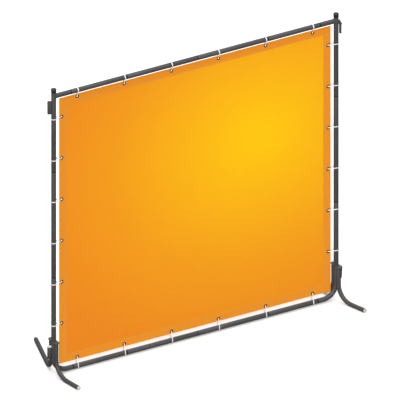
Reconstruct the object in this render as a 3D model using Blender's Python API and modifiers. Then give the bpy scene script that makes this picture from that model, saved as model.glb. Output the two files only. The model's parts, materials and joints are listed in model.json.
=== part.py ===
"""Welding curtain screen: a slip-together tube frame on swivelling legs with a tied-on vinyl curtain.

Blender 4.5, metres, +Z up. X runs along the screen, -Y is its front and the floor is at Z = 0.
"""

import math

import bmesh
import bpy
from mathutils import Matrix, Vector

# ---------------------------------------------------------------- driving sizes

POST_PITCH = 1.8288  # between the two post axes
RAIL_RISE = 1.763  # from the bottom rail's axis to the top rail's
FLOOR_CLEARANCE = 0.005  # under the bottom rail

FRAME_OD = 0.0286
FRAME_WALL = 0.0016
LEG_OD = 0.0254
LEG_WALL = 0.0016

FIT = 0.0003  # gap that touching pieces keep
SEAM = 0.0006  # open line where two tube sections meet
SWAGE_LENGTH = 0.032  # reduced end that slips into the next tube
SWAGE_WALL = 0.0012
SWAGE_TAPER = 0.006

# ---------------------------------------------------------------- frame

STUB_REACH = 0.105  # from a post's axis to the end of the stub welded to it
SEAM_SHIFT = 0.011  # how far the rail seams sit right of the quarter points
RAIL_SECTIONS = 4
UPPER_POST = 0.476  # from the top rail's axis down to the first post seam
LOWER_POST = 0.4115  # from the yoke up to the second post seam
POST_OVERRUN = 0.0437  # of the post above the top rail's axis
ELBOW_BEND = 0.085
ELBOW_STRAIGHT = 0.003  # of the elbow past the swage that it takes
COPE_STEP = 0.0001  # how much the welded stub stands inside the post's surfaces

CAP_WALL = 0.0016
CAP_TOP = 0.003
CAP_DEPTH = 0.020
CAP_CHAMFER = 0.0012

# ---------------------------------------------------------------- legs

STEM_RISE = 0.195  # from the bottom rail's axis to the top of the leg stems
STEM_CLEARANCE = 0.003  # between a leg stem and the elbow beside it
YOKE_THICKNESS = 0.005
YOKE_MARGIN = 0.004  # of the plate around a stem
SPIGOT_LENGTH = 0.080
SPIGOT_WALL = 0.0025
LEG_BEND = 0.095
FRONT_REACH = 0.200  # from the stem's axis to the tube's end
BACK_REACH = 0.385

FRONT_LEFT_TURN = 9.5  # degrees about +Z, from square to the screen
FRONT_RIGHT_TURN = 18.0
BACK_LEFT_TURN = -16.5
BACK_RIGHT_TURN = 16.5

PLUG_FLANGE = 0.0026
PLUG_DOME = 0.0008
PLUG_SHANK = 0.018
PLUG_CHAMFER = 0.001

# ---------------------------------------------------------------- linking pieces

SLEEVE_OD = 0.0254
SLEEVE_WALL = 0.003
SLEEVE_LENGTH = 0.075
UPPER_SLEEVE_DROP = 0.028  # from the top rail's axis to the sleeve's top
LOWER_SLEEVE_RISE = 0.168  # from the bottom rail's axis to the sleeve's top
BUSH_WALL = 0.0018
BUSH_FLANGE = 0.0025
BUSH_DEPTH = 0.030

HOOK_TOP_RISE = 0.002  # above the top rail's axis
HOOK_SHOULDER_DROP = 0.026  # below it, where the pin starts
HOOK_TOP_RADIUS = 0.0045
HOOK_SHOULDER_RADIUS = 0.011
HOOK_PIN_RADIUS = 0.0075
HOOK_PIN_LENGTH = 0.062
HOOK_PIN_CHAMFER = 0.003

CUP_RISE = 0.190  # from the bottom rail's axis to the cup's mouth
CUP_HEIGHT = 0.078
CUP_FOOT_RADIUS = 0.0105
CUP_WALL = 0.0033
CUP_BORE_DEPTH = 0.034

# ---------------------------------------------------------------- curtain and ties

CURTAIN_TOP_GAP = 0.0077  # from a tube's surface to the curtain's edge
CURTAIN_SIDE_GAP = 0.0211
CURTAIN_BOTTOM_GAP = 0.0277
VINYL = 0.0010
HEM_THICKNESS = 0.0022
HEM_WIDTH = 0.048
EYELET_INSET = 0.016  # from the curtain's edge to an eyelet's centre
EYELET_HOLE = 0.0095

TIES_A_SIDE = 6
TIE_END = 0.1524  # from a post's axis to the first tie on a rail
SIDE_TIE_DROP = 0.143  # from the top rail's axis to the first tie on a post
SIDE_TIE_RISE = 0.299  # from the bottom rail's axis to the last tie on a post
TIE_WIDTH = 0.007
TIE_THICKNESS = 0.0014
TIE_TURN = 0.0025  # radius where the tie turns back through its eyelet
TIE_BITE = 0.0020  # from the eyelet hole's edge to the tie
TIE_HEAD_WIDTH = 0.010
TIE_HEAD_LENGTH = 0.008
TIE_HEAD_HEIGHT = 0.006

# ---------------------------------------------------------------- roundness

TUBE_SIDES = 24
BEND_STEPS = 8
HOLE_SIDES = 16
TURN_STEPS = 3

# ---------------------------------------------------------------- places worked out from the sizes

FRAME_RADIUS = FRAME_OD / 2
FRAME_BORE = FRAME_RADIUS - FRAME_WALL
SWAGE_RADIUS = FRAME_BORE - FIT
SWAGE_BORE = SWAGE_RADIUS - SWAGE_WALL
LEG_RADIUS = LEG_OD / 2
LEG_BORE = LEG_RADIUS - LEG_WALL
SPIGOT_RADIUS = LEG_BORE - FIT

LEFT = -POST_PITCH / 2
RIGHT = POST_PITCH / 2
ELBOW_REACH = ELBOW_BEND + SWAGE_LENGTH + ELBOW_STRAIGHT
BOTTOM_RAIL = FLOOR_CLEARANCE + FRAME_RADIUS
TOP_RAIL = BOTTOM_RAIL + RAIL_RISE

STEM_TOP = BOTTOM_RAIL + STEM_RISE
YOKE_BOTTOM = STEM_TOP + FIT
YOKE_TOP = YOKE_BOTTOM + YOKE_THICKNESS
STEM_OFFSET = FRAME_RADIUS + STEM_CLEARANCE + LEG_RADIUS

UPPER_SEAM = TOP_RAIL - UPPER_POST
LOWER_SEAM = YOKE_TOP + LOWER_POST

SLEEVE_RADIUS = SLEEVE_OD / 2
SLEEVE_BORE = SLEEVE_RADIUS - SLEEVE_WALL
LINK_OFFSET = FRAME_RADIUS + FIT + SLEEVE_RADIUS
CUP_BORE = SLEEVE_RADIUS - CUP_WALL

CURTAIN_HALF_WIDTH = POST_PITCH / 2 - FRAME_RADIUS - CURTAIN_SIDE_GAP
CURTAIN_TOP = TOP_RAIL - FRAME_RADIUS - CURTAIN_TOP_GAP
CURTAIN_BOTTOM = BOTTOM_RAIL + FRAME_RADIUS + CURTAIN_BOTTOM_GAP


def spread(first, last, count):
    """Evenly spaced values from first to last."""
    return [first + (last - first) * i / (count - 1) for i in range(count)]


TIE_COLUMNS = spread(LEFT + TIE_END, RIGHT - TIE_END, TIES_A_SIDE)
TIE_ROWS = spread(TOP_RAIL - SIDE_TIE_DROP, BOTTOM_RAIL + SIDE_TIE_RISE, TIES_A_SIDE)

# ---------------------------------------------------------------- scene, collections and materials


def clear_scene():
    """Remove what the start-up file put in the scene."""
    for obj in list(bpy.data.objects):
        bpy.data.objects.remove(obj, do_unlink=True)


def new_collection(name):
    collection = bpy.data.collections.new(name)
    bpy.context.scene.collection.children.link(collection)
    return collection


def principled(name, colour, roughness, metallic=0.0):
    """A plain Principled material."""
    material = bpy.data.materials.new(name)
    material.use_nodes = True
    shader = material.node_tree.nodes["Principled BSDF"]
    shader.inputs["Base Color"].default_value = (*colour, 1.0)
    shader.inputs["Roughness"].default_value = roughness
    shader.inputs["Metallic"].default_value = metallic
    return material


# ---------------------------------------------------------------- modelling helpers


def place(mesh, name, material, collection, location=(0, 0, 0), rotation=None):
    """An object that shows a mesh at a place."""
    obj = bpy.data.objects.new(name, mesh)
    obj.location = location
    if rotation is not None:
        obj.rotation_euler = rotation
    if material is not None and not mesh.materials:
        mesh.materials.append(material)
    collection.objects.link(obj)
    return obj


def place_cutter(mesh, name, location=(0, 0, 0), rotation=None):
    """A wire object that only shapes another one."""
    obj = place(mesh, name, None, CUTTERS, location, rotation)
    obj.hide_render = True
    obj.display_type = "WIRE"
    return obj


def boolean(obj, other, operation):
    modifier = obj.modifiers.new(other.name, "BOOLEAN")
    modifier.operation = operation
    modifier.solver = "EXACT"
    modifier.object = other


def evaluated_mesh(obj, name):
    """The mesh of an object as its modifiers or curve settings leave it, with doubled points welded."""
    bpy.context.view_layer.update()
    depsgraph = bpy.context.evaluated_depsgraph_get()
    mesh = bpy.data.meshes.new_from_object(obj.evaluated_get(depsgraph))
    mesh.name = name
    shape = bmesh.new()
    shape.from_mesh(mesh)
    bmesh.ops.remove_doubles(shape, verts=shape.verts, dist=0.000002)
    bmesh.ops.recalc_face_normals(shape, faces=shape.faces)
    shape.to_mesh(mesh)
    shape.free()
    return mesh


def cylinder_mesh(name, radius, start, end, sides=TUBE_SIDES, end_radius=None):
    """A round bar between two points, or a cone where the radii differ."""
    start = Vector(start)
    run = Vector(end) - start
    turn = run.to_track_quat("Z", "Y").to_matrix().to_4x4()
    shape = bmesh.new()
    bmesh.ops.create_cone(
        shape,
        cap_ends=True,
        segments=sides,
        radius1=radius,
        radius2=radius if end_radius is None else end_radius,
        depth=run.length,
        matrix=Matrix.Translation(start + run / 2) @ turn,
    )
    mesh = bpy.data.meshes.new(name)
    shape.to_mesh(mesh)
    shape.free()
    return mesh


def chamfer_below(mesh, height, width):
    """Chamfer the edges of a mesh that lie at a height."""
    shape = bmesh.new()
    shape.from_mesh(mesh)
    rim = [edge for edge in shape.edges if all(abs(v.co.z - height) < width / 10 for v in edge.verts)]
    bmesh.ops.bevel(shape, geom=rim, offset=width, segments=1, affect="EDGES")
    shape.to_mesh(mesh)
    shape.free()


def turned(name, outline, closed, material, location, rotation=None):
    """A profile of (radius, height) points turned about Z, a ring when the profile is closed."""
    points = [(radius, 0, height) for radius, height in outline]
    edges = [(i, i + 1) for i in range(len(points) - 1)]
    if closed:
        edges.append((len(points) - 1, 0))
    mesh = bpy.data.meshes.new(name)
    mesh.from_pydata(points, edges, [])
    obj = place(mesh, name, material, PARTS, location, rotation)
    screw = obj.modifiers.new("Turn", "SCREW")
    screw.axis = "Z"
    screw.steps = TUBE_SIDES
    screw.render_steps = TUBE_SIDES
    screw.use_merge_vertices = True
    screw.merge_threshold = 0.00001
    screw.use_smooth_shade = True
    return obj


def rod_mesh(name, points, radius):
    """A round solid along a bent line."""
    curve = bpy.data.curves.new(name, "CURVE")
    curve.dimensions = "3D"
    curve.bevel_depth = radius
    curve.bevel_resolution = TUBE_SIDES // 2 - 2
    curve.use_fill_caps = True
    spline = curve.splines.new("POLY")
    spline.points.add(len(points) - 1)
    for point, place_at in zip(spline.points, points):
        point.co = (*place_at, 1)
    guide = bpy.data.objects.new(name, curve)
    CUTTERS.objects.link(guide)
    mesh = evaluated_mesh(guide, name)
    bpy.data.objects.remove(guide, do_unlink=True)
    return mesh


def plate_mesh(name, outlines, thickness):
    """A flat solid in the XY plane, where an outline inside another is a hole."""
    curve = bpy.data.curves.new(name, "CURVE")
    curve.dimensions = "2D"
    curve.fill_mode = "BOTH"
    curve.extrude = thickness / 2
    for outline in outlines:
        spline = curve.splines.new("POLY")
        spline.points.add(len(outline) - 1)
        spline.use_cyclic_u = True
        for point, (x, y) in zip(spline.points, outline):
            point.co = (x, y, 0, 1)
    guide = bpy.data.objects.new(name, curve)
    CUTTERS.objects.link(guide)
    mesh = evaluated_mesh(guide, name)
    bpy.data.objects.remove(guide, do_unlink=True)
    return mesh


def arc(centre, radius, start, end, steps):
    """Points along an arc of the XY plane, both ends included, with its angles in radians."""
    angles = spread(start, end, steps + 1)
    return [(centre[0] + radius * math.cos(a), centre[1] + radius * math.sin(a)) for a in angles]


def dropped_bend(top, floor_height, radius, reach, overrun=0.0):
    """A line down the Z axis that bends to -Y at a height and runs on to a reach."""
    points = [Vector((0, 0, top + overrun))]
    for y, z in arc((-radius, floor_height + radius), radius, 0, -math.pi / 2, BEND_STEPS):
        points.append(Vector((0, y, z)))
    points.append(Vector((0, -reach - overrun, floor_height)))
    return points


# ---------------------------------------------------------------- frame tubes


def section_outline(length, swage_low, swage_high):
    """Closed profile of a tube section from height 0 to its length, with a swage beyond either end."""
    outer = []
    inner = []
    if swage_high:
        outer += [(SWAGE_RADIUS, length + SWAGE_LENGTH), (SWAGE_RADIUS, length)]
        inner += [(FRAME_BORE, length - 2 * SWAGE_TAPER), (SWAGE_BORE, length - SWAGE_TAPER)]
        inner += [(SWAGE_BORE, length + SWAGE_LENGTH)]
    else:
        inner += [(FRAME_BORE, length)]
    outer += [(FRAME_RADIUS, length), (FRAME_RADIUS, 0)]
    if swage_low:
        outer += [(SWAGE_RADIUS, 0), (SWAGE_RADIUS, -SWAGE_LENGTH)]
        inner = [(SWAGE_BORE, SWAGE_TAPER), (FRAME_BORE, 2 * SWAGE_TAPER)] + inner
        inner = [(SWAGE_BORE, -SWAGE_LENGTH)] + inner
    else:
        inner = [(FRAME_BORE, 0)] + inner
    return outer + inner


def tube_section(name, start, end, swage_low, swage_high):
    """A straight frame tube between two points, its seams open by half a line at each end."""
    start = Vector(start)
    run = Vector(end) - start
    length = run.length - SEAM
    location = start + run.normalized() * SEAM / 2
    rotation = run.to_track_quat("Z", "Y").to_euler()
    outline = section_outline(length, swage_low, swage_high)
    return turned(name, outline, True, FRAME_PAINT, location, rotation)


def rail(name, height, corner_reach):
    """Four sections along X: each slips into the one on its left, and the last into both neighbours."""
    seams = [LEFT + corner_reach]
    for i in range(1, RAIL_SECTIONS):
        seams.append(LEFT + POST_PITCH * i / RAIL_SECTIONS + SEAM_SHIFT)
    seams.append(RIGHT - corner_reach)
    for i in range(RAIL_SECTIONS):
        last = i == RAIL_SECTIONS - 1
        tube_section(f"{name}_{i + 1}", (seams[i], 0, height), (seams[i + 1], 0, height), True, last)


def corner_tee(side, x, inward):
    """The top length of a post with a stub for the top rail welded to its side."""
    place_at = (x, 0, TOP_RAIL)
    foot = SEAM / 2 - UPPER_POST
    stub_end = inward * (STUB_REACH - SEAM / 2)
    past = inward * FRAME_OD
    post = cylinder_mesh(f"corner_tee_{side}", FRAME_RADIUS, (0, 0, foot), (0, 0, POST_OVERRUN))
    tee = place(post, f"corner_tee_{side}", FRAME_PAINT, PARTS, place_at)
    shapes = [
        ("stub", "UNION", FRAME_RADIUS - COPE_STEP, (0, 0, 0), (stub_end, 0, 0)),
        ("post_bore", "DIFFERENCE", FRAME_BORE, (0, 0, foot - FRAME_OD), (0, 0, POST_OVERRUN + FRAME_OD)),
        ("stub_bore", "DIFFERENCE", FRAME_BORE - COPE_STEP, (0, 0, 0), (stub_end + past, 0, 0)),
    ]
    for label, operation, radius, start, end in shapes:
        mesh = cylinder_mesh(label, radius, start, end)
        boolean(tee, place_cutter(mesh, f"{label}_{side}", place_at), operation)


def post_sections(side, x):
    """The middle and the lower length of a post, each with its swage on top."""
    tube_section(f"post_mid_{side}", (x, 0, LOWER_SEAM), (x, 0, UPPER_SEAM), False, True)
    foot = YOKE_TOP + FIT - SEAM / 2
    tube_section(f"post_low_{side}", (x, 0, foot), (x, 0, LOWER_SEAM), False, True)


def elbow(side, x, inward):
    """The bent corner tube, its swage reaching up through the yoke into the post."""
    name = f"elbow_{side}"
    turn = (0, 0, inward * math.pi / 2)
    place_at = (x, 0, 0)
    swage_top = YOKE_TOP + SWAGE_LENGTH
    reach = ELBOW_REACH - SEAM / 2
    line = dropped_bend(STEM_TOP, BOTTOM_RAIL, ELBOW_BEND, reach)
    tube = place(rod_mesh(name, line, FRAME_RADIUS), name, FRAME_PAINT, PARTS, place_at, turn)
    swage = cylinder_mesh("swage", SWAGE_RADIUS, (0, 0, STEM_TOP - SWAGE_TAPER), (0, 0, swage_top))
    boolean(tube, place_cutter(swage, f"swage_{side}", place_at, turn), "UNION")
    hollow = dropped_bend(STEM_TOP - 2 * SWAGE_TAPER, BOTTOM_RAIL, ELBOW_BEND, reach)
    hollow.append(hollow[-1] + Vector((0, -FRAME_OD, 0)))
    cutter = place_cutter(rod_mesh("elbow_bore", hollow, FRAME_BORE), f"elbow_bore_{side}", place_at, turn)
    boolean(tube, cutter, "DIFFERENCE")
    bore = cylinder_mesh("swage_bore", SWAGE_BORE, (0, 0, STEM_TOP - 3 * SWAGE_TAPER), (0, 0, swage_top + FIT))
    boolean(tube, place_cutter(bore, f"swage_bore_{side}", place_at, turn), "DIFFERENCE")


def post_cap(side, x):
    """A moulded cap over the top of a post."""
    bore = FRAME_RADIUS + FIT
    outer = bore + CAP_WALL
    ceiling = POST_OVERRUN + FIT
    top = ceiling + CAP_TOP
    rim = ceiling - CAP_DEPTH
    outline = [
        (0, top),
        (outer - 2 * CAP_CHAMFER, top),
        (outer - CAP_CHAMFER / 2, top - CAP_CHAMFER / 2),
        (outer, top - 2 * CAP_CHAMFER),
        (outer, rim),
        (bore, rim),
        (bore, ceiling),
        (0, ceiling),
    ]
    turned(f"post_cap_{side}", outline, False, CAP_PLASTIC, (x, 0, TOP_RAIL))


# ---------------------------------------------------------------- legs


def leg_yoke(side, x):
    """A plate clamped between post and elbow, with a spigot down into each leg stem."""
    name = f"leg_yoke_{side}"
    around = LEG_RADIUS + YOKE_MARGIN
    outline = arc((0, STEM_OFFSET), around, 0, math.pi, TUBE_SIDES // 2)
    outline += arc((0, -STEM_OFFSET), around, math.pi, 2 * math.pi, TUBE_SIDES // 2)
    hole = arc((0, 0), SWAGE_RADIUS + FIT, 0, 2 * math.pi, TUBE_SIDES)[:-1]
    mesh = plate_mesh(name, [outline, hole], YOKE_THICKNESS)
    middle = YOKE_BOTTOM + YOKE_THICKNESS / 2
    yoke = place(mesh, name, FRAME_PAINT, PARTS, (x, 0, middle))
    foot = -YOKE_THICKNESS / 2 - SPIGOT_LENGTH
    for label, y in (("front", -STEM_OFFSET), ("back", STEM_OFFSET)):
        spigot = cylinder_mesh("spigot", SPIGOT_RADIUS, (0, y, foot), (0, y, 0))
        boolean(yoke, place_cutter(spigot, f"spigot_{label}_{side}", (x, 0, middle)), "UNION")
    for label, y in (("front", -STEM_OFFSET), ("back", STEM_OFFSET)):
        bore_radius = SPIGOT_RADIUS - SPIGOT_WALL
        bore = cylinder_mesh("spigot_bore", bore_radius, (0, y, foot - FIT), (0, y, -YOKE_THICKNESS / 2))
        boolean(yoke, place_cutter(bore, f"spigot_bore_{label}_{side}", (x, 0, middle)), "DIFFERENCE")


def leg(end, side, x, y, half_turn, turn, reach):
    """A bent tube that hangs on its spigot, with a plug in the end that lies on the floor."""
    name = f"{end}_leg_{side}"
    turned_by = (0, 0, half_turn + math.radians(turn))
    place_at = (x, y, 0)
    line = dropped_bend(STEM_TOP, LEG_RADIUS, LEG_BEND, reach)
    tube = place(rod_mesh(name, line, LEG_RADIUS), name, LEG_PAINT, PARTS, place_at, turned_by)
    hollow = dropped_bend(STEM_TOP, LEG_RADIUS, LEG_BEND, reach, LEG_OD)
    bore = place_cutter(rod_mesh("leg_bore", hollow, LEG_BORE), f"{name}_bore", place_at, turned_by)
    boolean(tube, bore, "DIFFERENCE")
    outline = [
        (0, PLUG_FLANGE + PLUG_DOME),
        (LEG_RADIUS - 3 * PLUG_CHAMFER, PLUG_FLANGE + PLUG_DOME / 2),
        (LEG_RADIUS - PLUG_CHAMFER / 2, PLUG_FLANGE - PLUG_CHAMFER / 2),
        (LEG_RADIUS, PLUG_FLANGE - 1.5 * PLUG_CHAMFER),
        (LEG_RADIUS, FIT),
        (LEG_BORE - FIT, FIT),
        (LEG_BORE - FIT, PLUG_CHAMFER - PLUG_SHANK),
        (LEG_BORE - FIT - PLUG_CHAMFER, -PLUG_SHANK),
        (0, -PLUG_SHANK),
    ]
    along = (math.pi / 2, 0, 0)
    plug = turned(f"{end}_plug_{side}", outline, False, NYLON, (0, -reach, LEG_RADIUS), along)
    plug.parent = tube


def legs():
    """Two legs on each yoke, one to the front and one to the back."""
    leg("front", "left", LEFT, -STEM_OFFSET, 0, FRONT_LEFT_TURN, FRONT_REACH)
    leg("front", "right", RIGHT, -STEM_OFFSET, 0, FRONT_RIGHT_TURN, FRONT_REACH)
    leg("back", "left", LEFT, STEM_OFFSET, math.pi, BACK_LEFT_TURN, BACK_REACH)
    leg("back", "right", RIGHT, STEM_OFFSET, math.pi, BACK_RIGHT_TURN, BACK_REACH)


# ---------------------------------------------------------------- linking pieces


def ring_outline(outer, bore, top, bottom):
    return [(outer, top), (outer, bottom), (bore, bottom), (bore, top)]


def link_sleeves():
    """Two sleeves on the left post that take the next screen's pins."""
    outline = ring_outline(SLEEVE_RADIUS, SLEEVE_BORE, 0, -SLEEVE_LENGTH)
    x = LEFT - LINK_OFFSET
    turned("upper_link_sleeve", outline, True, FRAME_PAINT, (x, 0, TOP_RAIL - UPPER_SLEEVE_DROP))
    turned("lower_link_sleeve", outline, True, FRAME_PAINT, (x, 0, BOTTOM_RAIL + LOWER_SLEEVE_RISE))


def bush(name, x, mouth, bore):
    """A flanged liner that hangs in a socket by its rim."""
    outer = bore - FIT
    inner = outer - BUSH_WALL
    flange_top = FIT + BUSH_FLANGE
    outline = [
        (SLEEVE_RADIUS, flange_top),
        (SLEEVE_RADIUS, FIT),
        (outer, FIT),
        (outer, -BUSH_DEPTH),
        (inner, -BUSH_DEPTH),
        (inner, flange_top),
    ]
    turned(name, outline, True, NYLON, (x, 0, mouth))


def slanted_cone(name, low_radius, low_x, low_z, high_radius, high_x, high_z):
    """A cone that stands upright on flat ends whose centres are not above each other."""
    mesh = cylinder_mesh(name, low_radius, (0, 0, low_z), (0, 0, high_z), end_radius=high_radius)
    halfway = (low_z + high_z) / 2
    for vertex in mesh.vertices:
        vertex.co.x += high_x if vertex.co.z > halfway else low_x
    return mesh


def link_hook():
    """A wedge on the right post with a pin that drops into the next screen's upper sleeve."""
    against_post = FRAME_RADIUS + FIT
    place_at = (RIGHT, 0, TOP_RAIL)
    shoulder = -HOOK_SHOULDER_DROP
    wedge = slanted_cone(
        "upper_link_hook",
        HOOK_SHOULDER_RADIUS,
        LINK_OFFSET,
        shoulder,
        HOOK_TOP_RADIUS,
        against_post + HOOK_TOP_RADIUS,
        HOOK_TOP_RISE,
    )
    hook = place(wedge, "upper_link_hook", FRAME_PAINT, PARTS, place_at)
    tip = shoulder - HOOK_PIN_LENGTH
    inside = shoulder + HOOK_PIN_CHAMFER
    pin = cylinder_mesh("pin", HOOK_PIN_RADIUS, (LINK_OFFSET, 0, tip), (LINK_OFFSET, 0, inside))
    chamfer_below(pin, tip, HOOK_PIN_CHAMFER)
    boolean(hook, place_cutter(pin, "hook_pin", place_at), "UNION")


def link_cup():
    """A cup on the foot of the right post, wide at its mouth and leaning back to the post below."""
    against_post = FRAME_RADIUS + FIT
    place_at = (RIGHT, 0, BOTTOM_RAIL + CUP_RISE)
    body = slanted_cone(
        "lower_link_cup",
        CUP_FOOT_RADIUS,
        against_post + CUP_FOOT_RADIUS,
        -CUP_HEIGHT,
        SLEEVE_RADIUS,
        LINK_OFFSET,
        0,
    )
    cup = place(body, "lower_link_cup", FRAME_PAINT, PARTS, place_at)
    bore = cylinder_mesh("cup_bore", CUP_BORE, (LINK_OFFSET, 0, -CUP_BORE_DEPTH), (LINK_OFFSET, 0, CUP_WALL))
    boolean(cup, place_cutter(bore, "cup_bore", place_at), "DIFFERENCE")


def linking_pieces():
    link_sleeves()
    bush("lower_sleeve_bush", LEFT - LINK_OFFSET, BOTTOM_RAIL + LOWER_SLEEVE_RISE, SLEEVE_BORE)
    link_hook()
    link_cup()
    bush("lower_cup_bush", RIGHT + LINK_OFFSET, BOTTOM_RAIL + CUP_RISE, CUP_BORE)


# ---------------------------------------------------------------- curtain


def eyelet_places():
    """Centres of all eyelets, in X and Z."""
    places = []
    for x in TIE_COLUMNS:
        places.append((x, CURTAIN_TOP - EYELET_INSET))
        places.append((x, CURTAIN_BOTTOM + EYELET_INSET))
    for z in TIE_ROWS:
        places.append((EYELET_INSET - CURTAIN_HALF_WIDTH, z))
        places.append((CURTAIN_HALF_WIDTH - EYELET_INSET, z))
    return places


def curtain():
    """The vinyl sheet as a thin slab with a thicker hem and a hole at each eyelet."""
    height = CURTAIN_TOP - CURTAIN_BOTTOM
    middle = (CURTAIN_TOP + CURTAIN_BOTTOM) / 2
    shape = bmesh.new()
    size = Matrix.Diagonal((2 * CURTAIN_HALF_WIDTH, HEM_THICKNESS, height, 1))
    bmesh.ops.create_cube(shape, size=1, matrix=size)
    shape.normal_update()
    sheet_faces = [face for face in shape.faces if abs(face.normal.y) > 0.5]
    for face in sheet_faces:
        bmesh.ops.inset_region(shape, faces=[face], thickness=HEM_WIDTH, depth=(VINYL - HEM_THICKNESS) / 2)
    mesh = bpy.data.meshes.new("curtain")
    shape.to_mesh(mesh)
    shape.free()
    sheet = place(mesh, "curtain", CURTAIN_VINYL, PARTS, (0, 0, middle))

    holes = bmesh.new()
    for x, z in eyelet_places():
        hole = cylinder_mesh("hole", EYELET_HOLE / 2, (x, -HEM_THICKNESS, z), (x, HEM_THICKNESS, z), HOLE_SIDES)
        holes.from_mesh(hole)
        bpy.data.meshes.remove(hole)
    punch = bpy.data.meshes.new("eyelet_holes")
    holes.to_mesh(punch)
    holes.free()
    boolean(sheet, place_cutter(punch, "eyelet_holes"), "DIFFERENCE")


# ---------------------------------------------------------------- ties


def loop_outline(wide, narrow, apart):
    """The line of a belt around a wide circle at the origin and a narrow one along +X."""
    contact = math.acos((wide - narrow) / apart)
    belt = arc((0, 0), wide, contact, 2 * math.pi - contact, TUBE_SIDES // 2)
    belt += arc((apart, 0), narrow, -contact, contact, TURN_STEPS)
    return belt


def tie_mesh(name, edge_distance):
    """A cable tie around a tube and through an eyelet, whose curtain edge lies a distance from the tube's axis."""
    wide = FRAME_RADIUS + FIT
    through = edge_distance + EYELET_INSET - EYELET_HOLE / 2 + TIE_BITE
    apart = through - TIE_TURN
    inner = loop_outline(wide, TIE_TURN, apart)
    outer = loop_outline(wide + TIE_THICKNESS, TIE_TURN + TIE_THICKNESS, apart)
    band = place_cutter(plate_mesh(name, [outer, inner], TIE_WIDTH), name)
    contact = math.acos((wide - TIE_TURN) / apart)
    outward = Vector((math.cos(contact), math.sin(contact), 0))
    middle = Vector((apart / 2, 0, 0)) + outward * ((wide + TIE_TURN) / 2 + TIE_THICKNESS / 2)
    middle += outward * TIE_HEAD_HEIGHT / 2
    size = Matrix.Diagonal((TIE_HEAD_LENGTH, TIE_HEAD_HEIGHT, TIE_HEAD_WIDTH, 1))
    turn = Matrix.Rotation(contact - math.pi / 2, 4, "Z")
    shape = bmesh.new()
    bmesh.ops.create_cube(shape, size=1, matrix=Matrix.Translation(middle) @ turn @ size)
    head = bpy.data.meshes.new("head")
    shape.to_mesh(head)
    shape.free()
    block = place_cutter(head, f"{name}_head")
    boolean(band, block, "UNION")
    mesh = evaluated_mesh(band, name)
    mesh.materials.append(NYLON)
    bpy.data.objects.remove(band, do_unlink=True)
    bpy.data.objects.remove(block, do_unlink=True)
    return mesh


def ties():
    """One tie at each eyelet, its head behind the screen."""
    back = Vector((0, 1, 0))
    top_gap = FRAME_RADIUS + CURTAIN_TOP_GAP
    side_gap = FRAME_RADIUS + CURTAIN_SIDE_GAP
    bottom_gap = FRAME_RADIUS + CURTAIN_BOTTOM_GAP
    rows = [
        ("tie_top", top_gap, Vector((0, 0, -1)), [(x, 0, TOP_RAIL) for x in TIE_COLUMNS]),
        ("tie_bottom", bottom_gap, Vector((0, 0, 1)), [(x, 0, BOTTOM_RAIL) for x in TIE_COLUMNS]),
        ("tie_left", side_gap, Vector((1, 0, 0)), [(LEFT, 0, z) for z in TIE_ROWS]),
        ("tie_right", side_gap, Vector((-1, 0, 0)), [(RIGHT, 0, z) for z in TIE_ROWS]),
    ]
    for name, gap, inward, places in rows:
        mesh = tie_mesh(name, gap)
        rotation = Matrix((inward, back, inward.cross(back))).transposed().to_euler()
        for i, place_at in enumerate(places):
            place(mesh, f"{name}_{i + 1}", NYLON, PARTS, place_at, rotation)


# ---------------------------------------------------------------- whole screen


def screen():
    for side, x, inward in (("left", LEFT, 1), ("right", RIGHT, -1)):
        corner_tee(side, x, inward)
        post_sections(side, x)
        elbow(side, x, inward)
        post_cap(side, x)
        leg_yoke(side, x)
    rail("top_rail", TOP_RAIL, STUB_REACH)
    rail("bottom_rail", BOTTOM_RAIL, ELBOW_REACH)
    legs()
    linking_pieces()
    curtain()
    ties()


clear_scene()
PARTS = new_collection("welding_curtain_screen")
CUTTERS = new_collection("cutters")
FRAME_PAINT = principled("frame_paint", (0.085, 0.087, 0.090), 0.45, 0.1)
LEG_PAINT = principled("leg_paint", (0.060, 0.061, 0.064), 0.45, 0.1)
CAP_PLASTIC = principled("cap_plastic", (0.020, 0.020, 0.021), 0.5)
NYLON = principled("nylon", (0.86, 0.85, 0.81), 0.4)
CURTAIN_VINYL = principled("curtain_vinyl", (0.90, 0.32, 0.02), 0.35)
screen()
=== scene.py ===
"""Welding curtain screen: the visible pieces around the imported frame, laid out as a Blender add-on."""

import json
import math

import bmesh
import bpy
from mathutils import Matrix, Vector


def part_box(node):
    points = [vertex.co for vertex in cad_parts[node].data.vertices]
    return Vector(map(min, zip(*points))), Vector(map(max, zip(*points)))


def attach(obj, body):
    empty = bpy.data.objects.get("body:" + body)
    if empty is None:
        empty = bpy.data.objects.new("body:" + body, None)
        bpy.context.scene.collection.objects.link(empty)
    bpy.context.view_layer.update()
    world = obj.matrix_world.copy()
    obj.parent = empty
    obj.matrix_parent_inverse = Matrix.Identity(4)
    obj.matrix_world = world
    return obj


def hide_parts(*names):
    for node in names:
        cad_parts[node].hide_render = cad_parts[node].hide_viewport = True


bl_info = {
    "name": "Welding Curtain Screen",
    "version": (1, 0, 0),
    "blender": (4, 5, 0),
    "location": "View3D > Sidebar > Welding Screen",
    "description": "Builds a slip-together welding screen with a tied vinyl curtain and swivelling legs",
    "category": "Add Mesh",
}

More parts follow.
